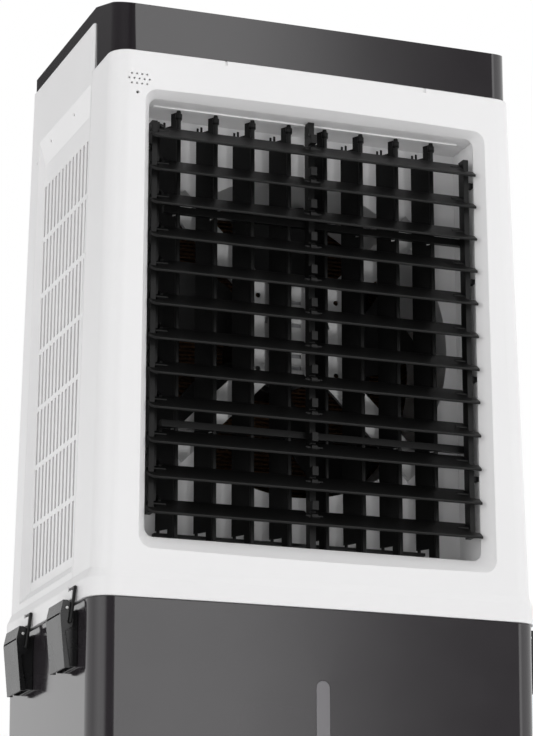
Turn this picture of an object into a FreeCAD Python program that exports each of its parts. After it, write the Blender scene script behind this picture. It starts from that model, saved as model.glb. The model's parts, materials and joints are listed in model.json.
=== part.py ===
import FreeCAD, Part
import math
import os
import re

from FreeCAD import Placement, Rotation, Vector

# Evaporative cooler: a white tapered housing on a dark water tank with casters.
# Frame: +Z up, the front faces -Y, X across; the origin is on the floor, in the middle of the footprint.
# Every driving size is in the spreadsheet, in millimetres and degrees.

DIMENSIONS = {
    # heights above the floor
    "tank_floor": (62, "underside of the water tank"),
    "tank_top": (392, "joint between tank and housing"),
    "band_bottom": (939.3, "lower edge of the front fascia band"),
    "band_top": (988, "upper edge of the front fascia band"),
    "side_top": (992.5, "upper edge of the white side panels"),
    "cap_top": (1009.5, "rim of the top cover"),
    # plan of the housing
    "half_width_bottom": (227.6, "half width of the housing just above the tank"),
    "half_width_band": (216, "half width of the housing under the band"),
    "half_width_cap": (213, "half width of the top cover"),
    "half_width_skirt": (232, "half width of the skirt round the housing's foot"),
    "half_width_tank": (229.5, "half width of the tank at its rim"),
    "tank_draft": (2.5, "how much narrower the tank is at its floor, a side"),
    "front_bottom": (152, "front face from the middle, at the tank"),
    "front_band": (149.5, "front face from the middle, under the band"),
    "rear_face": (148, "rear face from the middle"),
    "rear_rim": (153, "raised rim of the rear grille"),
    "bow": (3, "how far the front face bows out"),
    "corner": (20, "radius of the upright front corners"),
    "rear_corner": (4, "radius of the upright rear corners"),
    "skin": (3, "moulded wall"),
    "fascia_end": (74, "where the front shell ends on the sides, from the middle"),
    # louvre opening
    "mouth_half": (175, "half width of the louvre opening"),
    "mouth_low": (454, "lower edge of the opening"),
    "mouth_high": (895.2, "upper edge of the opening"),
    "mouth_depth": (134, "inner edge of the bevel, from the middle"),
    "duct_front": (133.6, "front edge of the air duct, from the middle"),
    "flare_low": (10.5, "bevel's spread at each side, at the foot of the opening"),
    "flare_high": (9, "bevel's spread at each side, at the top of the opening"),
    # slats
    "slat_count": (12, "horizontal slats"),
    "slat_pitch": (34.33, "slat spacing"),
    "slat_first": (864.7, "height of the top slat's pivot"),
    "slat_axis": (128.5, "slat pivots, from the middle"),
    "slat_front": (19.5, "pivot to front edge"),
    "slat_rear": (11, "pivot to rear edge"),
    "slat_half": (173.5, "half length of a slat's front strip"),
    "slat_inner": (164.5, "half length of the rest of the slat"),
    "slat_tilt": (37, "rest tilt, front edge down"),
    "slat_crank": (14, "pivot to link pin"),
    "pin_radius": (2, "slat and fin pivot pins"),
    "pin_play": (0.05, "radial running clearance"),
    "link_left": (162.8, "outer face of the slat link bar, from the middle"),
    "link_thick": (3.6, "thickness of the slat link bar"),
    "strip_end": (9, "pivot strips, past the last slats"),
    # fins
    "fin_count": (8, "vertical fins"),
    "fin_pitch": (39.2, "fin spacing"),
    "fin_axis": (113.5, "fin hinge line, from the middle"),
    "fin_chord": (25.5, "hinge line to rear edge"),
    "fin_turn": (29, "rest angle of the fins"),
    "fin_low": (469, "lower edge of a fin's blade"),
    "fin_high": (880, "upper edge of a fin's blade"),
    "fin_crank": (22.5, "hinge line to link pin"),
    # fan
    "fan_height": (682, "fan axis above the floor"),
    "fan_hole": (166, "radius of the shroud opening"),
    "fan_radius": (158, "fan blade tip radius"),
    "shroud_face": (80, "front face of the shroud wall, from the middle"),
    # tank and latches
    "window_half": (7, "half width of the level window"),
    "window_top": (323.4, "top of the level window"),
    "window_foot": (112, "foot of the level window"),
    "latch_front": (-80.5, "front latches"),
    "latch_rear": (72.5, "rear latches"),
    "latch_pin_height": (386.3, "lever pin of a latch"),
    "latch_pin_out": (11.5, "lever pin, out from the tank wall"),
    "bail_drop": (13.3, "lever pin down to the bail's pivot"),
    "bail_in": (2.9, "lever pin in to the bail's pivot"),
    "wire_radius": (1.6, "bail wire"),
    # casters
    "caster_x": (185, "caster stems, from the middle"),
    "caster_y": (98, "caster stems, from the middle"),
    "wheel_radius": (22, "caster wheel"),
    "wheel_trail": (17, "stem to axle"),
}

doc = FreeCAD.newDocument("EvaporativeCooler")
sheet = doc.addObject("Spreadsheet::Sheet", "dims")
for row, (alias, (number, meaning)) in enumerate(DIMENSIONS.items(), 1):
    sheet.set(f"A{row}", meaning)
    sheet.set(f"B{row}", str(number))
    sheet.setAlias(f"B{row}", alias)
doc.recompute()

SUBPARTS = []


# ---------------------------------------------------------------- helpers
def spell(formula):
    """A formula in the sheet's words, as the expression engine reads it."""
    def full(word):
        return "dims." + word[0] if word[0] in DIMENSIONS else word[0]
    return re.sub(r"[a-z][a-z_]+", full, str(formula))


def value(formula):
    return float(sheet.evalExpression(spell(formula)))


def bind(item, **formulas):
    for name, formula in formulas.items():
        item.setExpression(name, spell(formula))


def place(item, x=0, y=0, z=0, turn=None):
    if turn is not None:
        item.Placement = Placement(Vector(), turn)
    for axis, formula in zip("xyz", (x, y, z)):
        item.setExpression(f"Placement.Base.{axis}", spell(formula))


def publish(item, label):
    item.Label = label
    SUBPARTS.append(item)
    return item


def box(name, size, corner, turn=None):
    item = doc.addObject("Part::Box", name)
    bind(item, Length=size[0], Width=size[1], Height=size[2])
    place(item, *corner, turn=turn)
    return item


UP = Rotation()
ALONG_X = Rotation(Vector(0, 1, 0), 90)
ALONG_Y = Rotation(Vector(1, 0, 0), -90)


def rod(name, radius, length, start, turn=UP):
    item = doc.addObject("Part::Cylinder", name)
    bind(item, Radius=radius, Height=length)
    place(item, *start, turn=turn)
    return item


def fuse(name, *items):
    item = doc.addObject("Part::MultiFuse", name)
    item.Shapes = list(items)
    return item


def cut(name, base, *tools):
    item = doc.addObject("Part::Cut", name)
    item.Base = base
    item.Tool = tools[0] if len(tools) == 1 else fuse(name + "_tools", *tools)
    return item


def group(name, *items):
    """Several separate solids that share one node."""
    item = doc.addObject("Part::Compound", name)
    item.Links = list(items)
    return item


def made(label, shape, at=Placement()):
    """A sub-part whose shape comes from Part's own functions, at its placement."""
    item = doc.addObject("Part::Feature", label)
    item.Shape = shape
    item.Placement = at
    return publish(item, label)


def new_body(name):
    return doc.addObject("PartDesign::Body", name)


def sketch_on(body, name, role, offset=0):
    sketch = body.newObject("Sketcher::SketchObject", name)
    support = next(item for item in body.Origin.OriginFeatures if item.Role == role)
    sketch.AttachmentSupport = [(support, "")]
    sketch.MapMode = "FlatFace"
    sketch.setExpression("AttachmentOffset.Base.z", spell(offset))
    return sketch


def pin_point(sketch, geometry, point, across, up, tag):
    """Ties one point of a sketch to the origin with two driven distances."""
    import Sketcher
    for kind, formula in (("DistanceX", across), ("DistanceY", up)):
        index = sketch.addConstraint(Sketcher.Constraint(kind, -1, 1, geometry, point, value(formula)))
        sketch.renameConstraint(index, f"{tag}_{kind}")
        sketch.setExpression(f"Constraints.{tag}_{kind}", spell(formula))


def outline(body, name, role, corners, offset=0):
    """A closed polygon through the corners, each a pair of formulas."""
    import Sketcher
    sketch = sketch_on(body, name, role, offset)
    points = [Vector(value(across), value(up), 0) for across, up in corners]
    count = len(points)
    for index in range(count):
        sketch.addGeometry(Part.LineSegment(points[index], points[(index + 1) % count]))
    for index in range(count):
        sketch.addConstraint(Sketcher.Constraint("Coincident", index, 2, (index + 1) % count, 1))
    for index, (across, up) in enumerate(corners):
        pin_point(sketch, index, 1, across, up, f"p{index}")
    return sketch


def rectangle(body, name, role, low, high, offset=0):
    corners = [(low[0], low[1]), (high[0], low[1]), (high[0], high[1]), (low[0], high[1])]
    return outline(body, name, role, corners, offset)


def disc(body, name, role, centre, radius, offset=0):
    import Sketcher
    sketch = sketch_on(body, name, role, offset)
    middle = Vector(value(centre[0]), value(centre[1]), 0)
    sketch.addGeometry(Part.Circle(middle, Vector(0, 0, 1), value(radius)))
    index = sketch.addConstraint(Sketcher.Constraint("Radius", 0, value(radius)))
    sketch.renameConstraint(index, "size")
    sketch.setExpression("Constraints.size", spell(radius))
    pin_point(sketch, 0, 3, centre[0], centre[1], "centre")
    return sketch


def pad(body, sketch, length, symmetric=False):
    feature = body.newObject("PartDesign::Pad", sketch.Name + "_pad")
    feature.Profile = sketch
    feature.Length = value(length)
    feature.setExpression("Length", spell(length))
    feature.Midplane = symmetric
    return feature


def pocket(body, sketch, length, symmetric=True):
    feature = body.newObject("PartDesign::Pocket", sketch.Name + "_pocket")
    feature.Profile = sketch
    feature.Length = value(length)
    feature.setExpression("Length", spell(length))
    feature.Midplane = symmetric
    return feature


def turned(body, sketch):
    """A full turn of a profile about the sketch's own upright axis."""
    feature = body.newObject("PartDesign::Revolution", sketch.Name + "_turned")
    feature.Profile = sketch
    feature.ReferenceAxis = (sketch, ["V_Axis"])
    feature.Angle = 360
    return feature


# ---------------------------------------------------------------- housing shells
def half_width(height):
    """The housing narrows evenly from the tank to the band."""
    low, high = value("tank_top"), value("band_bottom")
    share = (height - low) / (high - low)
    return value("half_width_bottom") + share * value("half_width_band - half_width_bottom")


def front_face(height):
    low, high = value("tank_top"), value("band_bottom")
    share = (height - low) / (high - low)
    return -value("front_bottom") - share * value("front_band - front_bottom")


def plan(height, half, front, rear, radius, rear_radius):
    """Closed plan outline: bowed front, rounded corners, straight sides and back."""
    bow = value("bow")
    bend = math.sqrt(0.5)
    a = half - radius
    b = half - rear_radius
    near = front + bow
    far = rear - rear_radius

    def at(x, y):
        return Vector(x, y, height)

    edges = [
        Part.Arc(at(-a, near), at(0, front), at(a, near)),
        Part.Arc(at(a, near), at(a + radius * bend, near + radius * (1 - bend)), at(half, near + radius)),
        Part.LineSegment(at(half, near + radius), at(half, far)),
        Part.Arc(at(half, far), at(b + rear_radius * bend, far + rear_radius * bend), at(b, rear)),
        Part.LineSegment(at(b, rear), at(-b, rear)),
        Part.Arc(at(-b, rear), at(-b - rear_radius * bend, far + rear_radius * bend), at(-half, far)),
        Part.LineSegment(at(-half, far), at(-half, near + radius)),
        Part.Arc(at(-half, near + radius), at(-a - radius * bend, near + radius * (1 - bend)), at(-a, near)),
    ]
    return Part.Wire([edge.toShape() for edge in edges])


def housing(low, high, inset=0.0):
    """The tapered housing between two heights, all its faces set in by the inset."""
    wires = []
    for height in (low, high):
        wires.append(plan(height, half_width(height) - inset, front_face(height) + inset,
                          value("rear_face") - inset, value("corner") - inset,
                          value("rear_corner") - inset))
    return Part.makeLoft(wires, True, True)


def skirt():
    """Raised foot of the housing: proud at the sides, nearly flush at the front, sloped on top."""
    low = value("tank_top") + 0.6
    half, front, rear = value("half_width_skirt"), -value("rear_rim"), value("rear_face")
    brink, crest = low + 18, low + 31
    upright = [plan(height, half, front, rear, 24, 6) for height in (low, brink)]
    slope = [plan(brink, half, front, rear, 24, 6),
             plan(crest, half_width(crest) - 1, front_face(low) + 1, rear - 1, 20, 4)]
    solid = Part.makeLoft(upright, True, True).fuse(Part.makeLoft(slope, True, True))
    return solid.cut(housing(low - 5, low + 60, value("skin")))


def slab(first, second):
    """A plain box between two opposite corners."""
    low = Vector(*(min(pair) for pair in zip(first, second)))
    high = Vector(*(max(pair) for pair in zip(first, second)))
    size = high - low
    return Part.makeBox(size.x, size.y, size.z, low)


def catch(side, y):
    """Catch for a bail on the skirt: a low step under the wire's hook and a taller one beside it."""
    inner, outer = side * 230.0, side * (value("half_width_tank") + 7)
    low_step = slab((inner, y - 24, 395), (outer, y - 12, 403.6))
    high_step = slab((inner, y - 12, 395), (outer, y - 1, 408))
    notch = slab((inner - side * 2, y - 12.1, 403.6), (outer + side, y - 11.5, 410))
    return low_step.fuse(high_step).cut(notch)


def rounded_frame(half, top_half, low, high, radius, y):
    """An upright rounded outline across the front, as a wire; its top may be narrower than its foot."""
    bend = radius * (1 - math.sqrt(0.5))
    slant = (half - top_half) / (high - low)
    corners = [(half, low), (top_half, high), (-top_half, high), (-half, low)]
    edges = []
    ends = []
    for x, z in corners:
        sx = math.copysign(1, x)
        sz = 1 if z == high else -1
        upright = Vector(x + sx * sz * slant * radius, y, z - sz * radius)
        level = Vector(x - sx * radius, y, z)
        middle = Vector(x - sx * bend, y, z - sz * bend)
        first, last = (upright, level) if sx * sz > 0 else (level, upright)
        edges.append(Part.Arc(first, middle, last).toShape())
        ends.append((first, last))
    for index in range(4):
        start = ends[index][1]
        finish = ends[(index + 1) % 4][0]
        edges.append(Part.LineSegment(start, finish).toShape())
    return Part.Wire(Part.__sortEdges__(edges))


def funnel(grow):
    """The bevel round the louvre opening, as a solid, grown by a wall."""
    half, low, high = value("mouth_half"), value("mouth_low"), value("mouth_high")
    deep = -value("mouth_depth")
    rise, drop = 6.0, 14.0
    far_out = -value("front_bottom") - 8
    share = (deep - far_out) / (deep + value("front_band"))
    foot_half = half + value("flare_low") * share + grow
    top_half = half + value("flare_high") * share + grow
    outer = rounded_frame(foot_half, top_half, low - drop * share - grow, high + rise * share + grow,
                          16 + grow, far_out)
    inner = rounded_frame(half + grow, half + grow, low - grow, high + grow, 9 + grow, deep)
    return Part.makeLoft([outer, inner], True, True)


def make_front_panel():
    skin = value("skin")
    low, high = value("tank_top") + 0.6, value("band_bottom")
    outer = housing(low, high)
    shell = outer.cut(housing(low - 5, high - skin, skin))
    lip = funnel(skin).common(outer)
    solid = shell.fuse([skirt(), lip]).cut(funnel(0))
    behind = -value("mouth_depth")
    half = value("mouth_half")
    mouth = rounded_frame(half, half, value("mouth_low"), value("mouth_high"), 9, behind - 1)
    solid = solid.cut(Part.Face(mouth).extrude(Vector(0, 20, 0)))
    solid = solid.fuse([catch(side, value("latch_front")) for side in (-1, 1)])
    keep = slab((-260, -180, low - 1), (260, -value("fascia_end") - 0.25, high + 1))
    solid = solid.common(keep)
    start, speaker_x, speaker_z, pitch = -160.0, -189.2, 909.6, 5.2
    cutters = []
    for row, count in ((1, 4), (0, 5), (-1, 4)):
        for column in range(count):
            at = Vector(speaker_x + pitch * (column - (count - 1) / 2), start, speaker_z + 5.0 * row)
            cutters.append(Part.makeCylinder(1.0, 25, at, Vector(0, 1, 0)))
    cutters.append(Part.makeCylinder(1.5, 25, Vector(-191.0, start, 895.3), Vector(0, 1, 0)))
    for x in (-99.5, 116.0):
        cutters.append(slab((x - 1.2, start, high - 4.5), (x + 1.2, -147.8, high + 1)))
    return made("front_panel", solid.cut(cutters).removeSplitter())


SLOT_COLUMNS = 13
SLOT_ROWS = 7


def side_slots(side):
    """Columns of tall slots through the side panel, in rows one above the other."""
    first, pitch, width = -49.0, 12.55, 5.6
    top, step, height = 875.0, 61.6, 56.0
    cutters = []
    for column in range(SLOT_COLUMNS):
        y = first + pitch * column
        for row in range(SLOT_ROWS):
            z = top - step * row - height
            cutters.append(slab((side * 195, y, z), (side * 240, y + width, z + height)))
    return cutters


def side_recess(side, grow):
    """The tray in the side panel that carries the slots; it is shallower at its top."""
    def rect(front, rear, low, high, x_low, x_high):
        points = [Vector(side * x_low, front, low), Vector(side * x_low, rear, low),
                  Vector(side * x_high, rear, high), Vector(side * x_high, front, high)]
        return Part.makePolygon(points + [points[0]])

    high, low, reach = 927.4, 428.0, 14.0
    brim = (-70 - grow, 116 + grow, low - grow, high + grow)
    outside = rect(*brim, half_width(low) + reach, half_width(high) + reach)
    edge = rect(*brim, half_width(low), half_width(high))
    floor = rect(-54 - grow, 110 + grow, 440 - grow, 900 + grow, 217.0 - grow, 211.0 - grow)
    return Part.makeLoft([edge, floor], True, True).fuse(Part.makeLoft([outside, edge], True, True))


REAR_SCREWS = (415, 700, 960)
REAR_SCREW_X = 194.5
SIDE_SCREWS = ((-6, 917.5), (78, 917.5), (122, 905.7))


def make_side_panel(label, side):
    skin = value("skin")
    low, high = value("tank_top") + 0.6, value("side_top")
    outer = housing(low, high)
    shell = outer.cut(housing(low - 5, high + 5, skin))
    tray = side_recess(side, 2.5).common(outer)
    solid = shell.fuse([skirt(), tray]).cut(side_recess(side, 0.0))
    near = -value("fascia_end") + 0.25
    keep = slab((side * 180, near, low - 1), (side * 240, value("rear_face"), high + 1))
    behind = slab((0, 100, low - 5), (side * 200, 160, high + 5))
    solid = solid.common(keep).cut(behind)
    solid = solid.fuse(catch(side, value("latch_rear")))
    band = value("band_bottom")
    bevel = [Vector(side * 212.8, near - 0.5, band), Vector(side * 220, near - 0.5, band),
             Vector(side * 220, near + 9, band)]
    solid = solid.cut(Part.Face(Part.makePolygon(bevel + bevel[:1])).extrude(Vector(0, 0, high - band + 1)))
    for z in REAR_SCREWS:
        solid = solid.fuse(slab((side * 188, 136, z - 6), (side * (half_width(z) - 1), 144.7, z + 6)))
        solid = solid.cut(Part.makeCylinder(1.6, 20, Vector(side * REAR_SCREW_X, 130, z), Vector(0, 1, 0)))
    cutters = side_slots(side)
    for y, z in SIDE_SCREWS:
        cutters.append(Part.makeCylinder(1.7, 40, Vector(side * 190, y, z), Vector(side, 0, 0)))
    return made(label, solid.cut(cutters).removeSplitter())


def make_top_cover():
    """Front fascia band, sloped control deck and a low rim along the sides and back."""
    skin = 2.5
    half = value("half_width_cap")
    bottom, brink, rim, top = (value(name) for name in ("band_bottom", "band_top", "side_top", "cap_top"))

    def prism(low, high, inset):
        wires = [plan(height, half - inset, front_face(bottom) + 0.3 + inset, value("rear_face") - inset,
                      value("corner") - inset, value("rear_corner") - inset) for height in (low, high)]
        return Part.makeLoft(wires, True, True)

    solid = prism(bottom + 0.4, top, 0).cut(prism(bottom - 5, top - 3, skin))
    near = -value("fascia_end") - 0.25
    solid = solid.cut(slab((-260, near, bottom - 5), (260, 200, rim + 0.4)))
    corner = front_face(bottom)
    wedge = [Vector(-260, corner - 6, brink - 1.7), Vector(-260, near, top), Vector(-260, near, top + 20),
             Vector(-260, corner - 6, top + 20)]
    above = Part.Face(Part.makePolygon(wedge + wedge[:1])).extrude(Vector(520, 0, 0))
    lowered = above.copy()
    lowered.translate(Vector(0, 0, -3))
    plate = lowered.common(prism(bottom - 5, top, skin))
    posts = [Part.makeCylinder(3.5, 40, Vector(x, y, 969.9)) for x in (-70.5, 70.5) for y in (-130, -98)]
    sunk = above.copy()
    sunk.translate(Vector(0, 0, -0.8))
    display = slab((-46, -136, bottom), (46, -108, top + 30)).common(sunk)
    solid = solid.fuse([plate] + posts).cut([above, display])
    return made("top_cover", solid.removeSplitter())


def make_water_tank():
    skin = value("skin")
    floor, rim = value("tank_floor"), value("tank_top")
    half, draft = value("half_width_tank"), value("tank_draft")
    front, rear = -value("front_bottom") + 0.5, value("rear_face") + 2

    def tub(low, high, inset):
        wires = []
        for height in (low, high):
            taper = draft * (rim - height) / (rim - floor) + inset
            wires.append(plan(height, half - taper, front + taper, rear - taper, 22 - inset, 16 - inset))
        return Part.makeLoft(wires, True, True)

    solid = tub(floor, rim, 0).cut(tub(floor + 4, rim + 5, skin))
    bosses, bores = [], []
    for x in (-1, 1):
        for y in (-1, 1):
            at = Vector(x * value("caster_x"), y * value("caster_y"), floor)
            bosses.append(Part.makeCylinder(9, 28, at))
            bores.append(Part.makeCylinder(5.05, 23, at))
    window = slab((-value("window_half"), -170, value("window_foot")),
                  (value("window_half"), -140, value("window_top") - value("window_half")))
    crown = Vector(0, -170, value("window_top - window_half"))
    arch = Part.makeCylinder(value("window_half"), 30, crown, Vector(0, 1, 0))
    drain = Part.makeCylinder(8.1, 20, Vector(0, 140, floor + 22), Vector(0, 1, 0))
    return made("water_tank", solid.fuse(bosses).cut(bores + [window, arch, drain]).removeSplitter())


def make_level_window():
    """Clear strip that fills the slot, with a flange against the inside of the wall."""
    half, foot, top = value("window_half"), value("window_foot"), value("window_top")
    y = -value("front_bottom")
    strip = slab((-half + 0.15, y + 1.2, foot + 0.15), (half - 0.15, y + 6.5, top - half))
    arch = Part.makeCylinder(half - 0.15, 5.3, Vector(0, y + 1.2, top - half), Vector(0, 1, 0))
    flange = slab((-half - 5, y + 6.4, foot - 5), (half + 5, y + 8.0, top + 5))
    return made("level_window", strip.fuse([arch, flange]).removeSplitter())


# ---------------------------------------------------------------- louvre
def make_slat(index):
    """A slat in its own frame: the pivot is the X axis, the front edge points to -Y."""
    label = f"slat_{index + 1:02d}"
    body = new_body(f"Slat{index + 1}")
    blade = outline(body, f"BladeSection{index}", "YZ_Plane", [
        ("-slat_front + 1", -1.3), ("-slat_front", -0.6), ("-slat_front", 0.6), ("-slat_front + 1", 1.3),
        ("slat_rear", 0.8), ("slat_rear", -0.8)])
    pad(body, blade, "2 * slat_half", symmetric=True)
    for side in (-1, 1):
        ends = sorted((side * 164.5, side * 180), key=float)
        trim = rectangle(body, f"EndTrim{index}_{side + 1}", "XY_Plane",
                         (ends[0], "-slat_front + 10"), (ends[1], "slat_rear + 5"))
        pocket(body, trim, 20)
    left = outline(body, f"CornerTrim{index}", "XY_Plane", [
        ("-slat_half - 1", "-slat_front - 1"), ("-slat_half + 9", "-slat_front - 1"),
        ("-slat_half + 9", "-slat_front"),
        ("-slat_half + 5", "-slat_front + 1.1"), ("-slat_half + 1.6", "-slat_front + 4"),
        ("-slat_half", "-slat_front + 9"), ("-slat_half - 1", "-slat_front + 9")])
    pocket(body, left, 20)
    for tag, low, high in (("Clip", (-6.5, -5.5), (6.5, "slat_rear + 5")),
                           ("Link", ("-slat_inner - 1", 5.5), (-158.5, "slat_rear + 5"))):
        notch = rectangle(body, f"{tag}Notch{index}", "XY_Plane", low, high)
        pocket(body, notch, 20)
    centre = disc(body, f"ClipPin{index}", "YZ_Plane", (0, 0), "pin_radius")
    pad(body, centre, 18, symmetric=True)
    for side, start in ((-1, "-slat_inner - 5.5"), (1, "slat_inner - 12")):
        pin = disc(body, f"EndPin{index}_{side + 1}", "YZ_Plane", (0, 0), "pin_radius", start)
        pad(body, pin, 17.5)
    ear = outline(body, f"Ear{index}", "YZ_Plane", [
        (6, -2.4), ("slat_crank + 2.6", -2.4), ("slat_crank + 3.4", 0), ("slat_crank + 2.6", 2.4), (6, 2.4)],
        "-link_left + link_thick + 0.7")
    pad(body, ear, 3)
    crank = disc(body, f"CrankPin{index}", "YZ_Plane", ("slat_crank", 0), 1.7, "-link_left - 0.8")
    pad(body, crank, "link_thick + 3")
    tilt = Rotation(Vector(1, 0, 0), value("slat_tilt"))
    place(body, 0, "-slat_axis", f"slat_first - {index} * slat_pitch", turn=tilt)
    return publish(body, label)


def make_slat_link():
    """Upright bar with one hole for each slat's crank pin; its origin is the top pin."""
    body = new_body("SlatLink")
    reach = "(slat_count - 1) * slat_pitch"
    bar = rectangle(body, "LinkSection", "YZ_Plane", (-3.2, f"-({reach}) - 4"), (3.2, 4), "-link_left")
    pad(body, bar, "link_thick")
    for index in range(int(value("slat_count"))):
        centre = (0, f"-{index} * slat_pitch")
        hole = disc(body, f"LinkHole{index}", "YZ_Plane", centre, "1.7 + pin_play", "-link_left - 1")
        drill = pocket(body, hole, "link_thick + 2", symmetric=False)
        drill.Reversed = True
    place(body, 0, "-slat_axis + slat_crank * cos(slat_tilt * 1 deg)",
          "slat_first + slat_crank * sin(slat_tilt * 1 deg)")
    return publish(body, "slat_link")


def make_pivot_strips():
    """Two upright strips with a bearing hole for each slat pin and four tabs to the duct wall."""
    foot = "slat_first - (slat_count - 1) * slat_pitch - strip_end"
    solids = []
    for side in (-1, 1):
        start, tab_start = ("165.2", "170.6") if side > 0 else ("-170.8", "-177.2")
        pieces = [box(f"Strip{side + 1}", (5.6, 12, "(slat_count - 1) * slat_pitch + 2 * strip_end"),
                      (start, "-slat_axis - 3.5", foot))]
        for index in (0.5, 3.5, 6.5, 9.5):
            pieces.append(box(f"StripTab{side + 1}_{int(index)}", (6.6, 8, 5),
                              (tab_start, "-slat_axis - 1", f"slat_first - {index} * slat_pitch - 2.5")))
        holes = [rod(f"StripHole{side + 1}_{index}", "pin_radius + pin_play", 10,
                     (f"{start} - 2", "-slat_axis", f"slat_first - {index} * slat_pitch"), ALONG_X)
                 for index in range(int(value("slat_count")))]
        solids.append(cut(f"StripDrilled{side + 1}", fuse(f"StripBody{side + 1}", *pieces), *holes))
    return publish(group("PivotStrips", *solids), "pivot_strips")


RAIL_HEIGHTS = (789, 571)


def make_louvre_support():
    """Centre rib with a bearing for each slat, crossed by two rails that steady the fins."""
    pieces = [box("RibFront", (6.3, 8.5, "mouth_high - mouth_low - 0.6"), (-3.15, -126, "mouth_low + 0.3")),
              box("RibRear", (6.3, 3, "mouth_high - mouth_low - 4"), (-3.15, -118.5, "mouth_low + 2"))]
    bores = []
    for index in range(int(value("slat_count"))):
        level = f"slat_first - {index} * slat_pitch"
        pieces.append(rod(f"Jaw{index}", 4, 6.3, (-3.15, "-slat_axis", level), ALONG_X))
        pieces.append(box(f"Neck{index}", (6.3, 4, 5), (-3.15, "-slat_axis + 0.5", f"{level} - 2.5")))
        pieces.append(box(f"Stop{index}", (6.3, 8, 9), (-3.15, "-slat_axis - 5", f"{level} + 6")))
        bores.append(rod(f"JawBore{index}", "pin_radius + pin_play", 10, (-5, "-slat_axis", level), ALONG_X))
    for number, height in enumerate(RAIL_HEIGHTS):
        pieces.append(box(f"Rail{number}", ("mouth_half + 153", 6, 7),
                          (-153, "-fin_axis - 3", height - 3.5)))
        for fin in range(int(value("fin_count"))):
            bores.append(rod(f"RailBore{number}_{fin}", "pin_radius + pin_play", 12,
                             (f"fin_pitch * ({fin} - 3.5)", "-fin_axis", height - 6)))
    return publish(cut("LouvreSupport", fuse("LouvreSupportBody", *pieces), *bores), "louvre_support")


def make_fin(index):
    """A fin in its own frame: the hinge line is the Z axis, the blade points to +Y."""
    body = new_body(f"Fin{index + 1}")
    plate = rectangle(body, f"FinSection{index}", "XY_Plane", (-1, 0), (1, "fin_chord"), "fin_low")
    pad(body, plate, "fin_high - fin_low")
    for tag, low, length in (("Top", "fin_high - 1", 13.5), ("Foot", "fin_low - 13", 14)):
        tab = rectangle(body, f"Tab{tag}{index}", "XY_Plane", (-1, 0), (1, 9.5), low)
        pad(body, tab, length)
    barrel = disc(body, f"Barrel{index}", "XY_Plane", (0, 0), 2.3, "fin_low - 13")
    pad(body, barrel, "fin_high - fin_low + 25.5")
    pins = disc(body, f"HingePin{index}", "XY_Plane", (0, 0), "pin_radius", "fin_low - 16.5")
    pad(body, pins, "fin_high - fin_low + 33.5")
    for number, height in enumerate(RAIL_HEIGHTS):
        gap = rectangle(body, f"RailGap{index}_{number}", "YZ_Plane", (-3, height - 4.5), (8, height + 4.5))
        pocket(body, gap, 12)
        pin = disc(body, f"RailPin{index}_{number}", "XY_Plane", (0, 0), "pin_radius", height - 5)
        pad(body, pin, 10)
    for tag, near in (("A", 18.6), ("B", 23.6)):
        prong = rectangle(body, f"Prong{tag}{index}", "XY_Plane",
                          (-1, near), (1, near + 1.3), "fin_high - 1")
        pad(body, prong, 7)
    foot = disc(body, f"LinkPin{index}", "XY_Plane", (0, "fin_crank"), 1.7, "fin_low - 7")
    pad(body, foot, 8)
    turn = Rotation(Vector(0, 0, 1), value("fin_turn"))
    place(body, f"fin_pitch * ({index} - 3.5)", "-fin_axis", 0, turn=turn)
    return publish(body, f"fin_{index + 1}")


def make_fin_link():
    """Flat bar under the fins with one hole for each fin's link pin."""
    body = new_body("FinLink")
    bar = rectangle(body, "FinLinkPlan", "XY_Plane", (-5, -4), ("(fin_count - 1) * fin_pitch + 5", 4))
    pad(body, bar, 3)
    for index in range(int(value("fin_count"))):
        hole = disc(body, f"FinLinkHole{index}", "XY_Plane", (f"{index} * fin_pitch", 0), "1.7 + pin_play")
        pocket(body, hole, 10)
    place(body, "-3.5 * fin_pitch - fin_crank * sin(fin_turn * 1 deg)",
          "-fin_axis + fin_crank * cos(fin_turn * 1 deg)", "fin_low - 6")
    return publish(body, "fin_link")


# ---------------------------------------------------------------- air path
def make_air_duct():
    """White sleeve from the opening to the shroud wall, with the ring round the fan."""
    near, face = "-duct_front", "-shroud_face"
    outer = box("DuctOuter", (361, "duct_front - shroud_face + skin", "mouth_high - mouth_low + 2 * skin"),
                (-180.5, near, "mouth_low - skin"))
    inner = box("DuctInner", (355, "duct_front - shroud_face", "mouth_high - mouth_low"),
                (-177.5, near, "mouth_low"))
    ledge_high = box("LedgeHigh", (330, 7, 1.5), (-165, "-fin_axis - 3.5", "mouth_high - 1.5"))
    ledge_low = box("LedgeLow", (330, 7, 1.5), (-165, "-fin_axis - 3.5", "mouth_low"))
    ring = rod("RingOuter", "fan_hole + 2.5", 103, (0, face, "fan_height"), ALONG_Y)
    hole = rod("RingInner", "fan_hole", 120, (0, "-shroud_face - 5", "fan_height"), ALONG_Y)
    bores = [rod(f"FinSeat{index}", "pin_radius + pin_play", 480,
                 (f"fin_pitch * ({index} - 3.5)", "-fin_axis", "mouth_low - 10"))
             for index in range(int(value("fin_count")))]
    sleeve = cut("Sleeve", outer, inner)
    whole = fuse("DuctWhole", sleeve, ledge_high, ledge_low, ring)
    return publish(cut("AirDuct", whole, hole, *bores), "air_duct")


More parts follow.
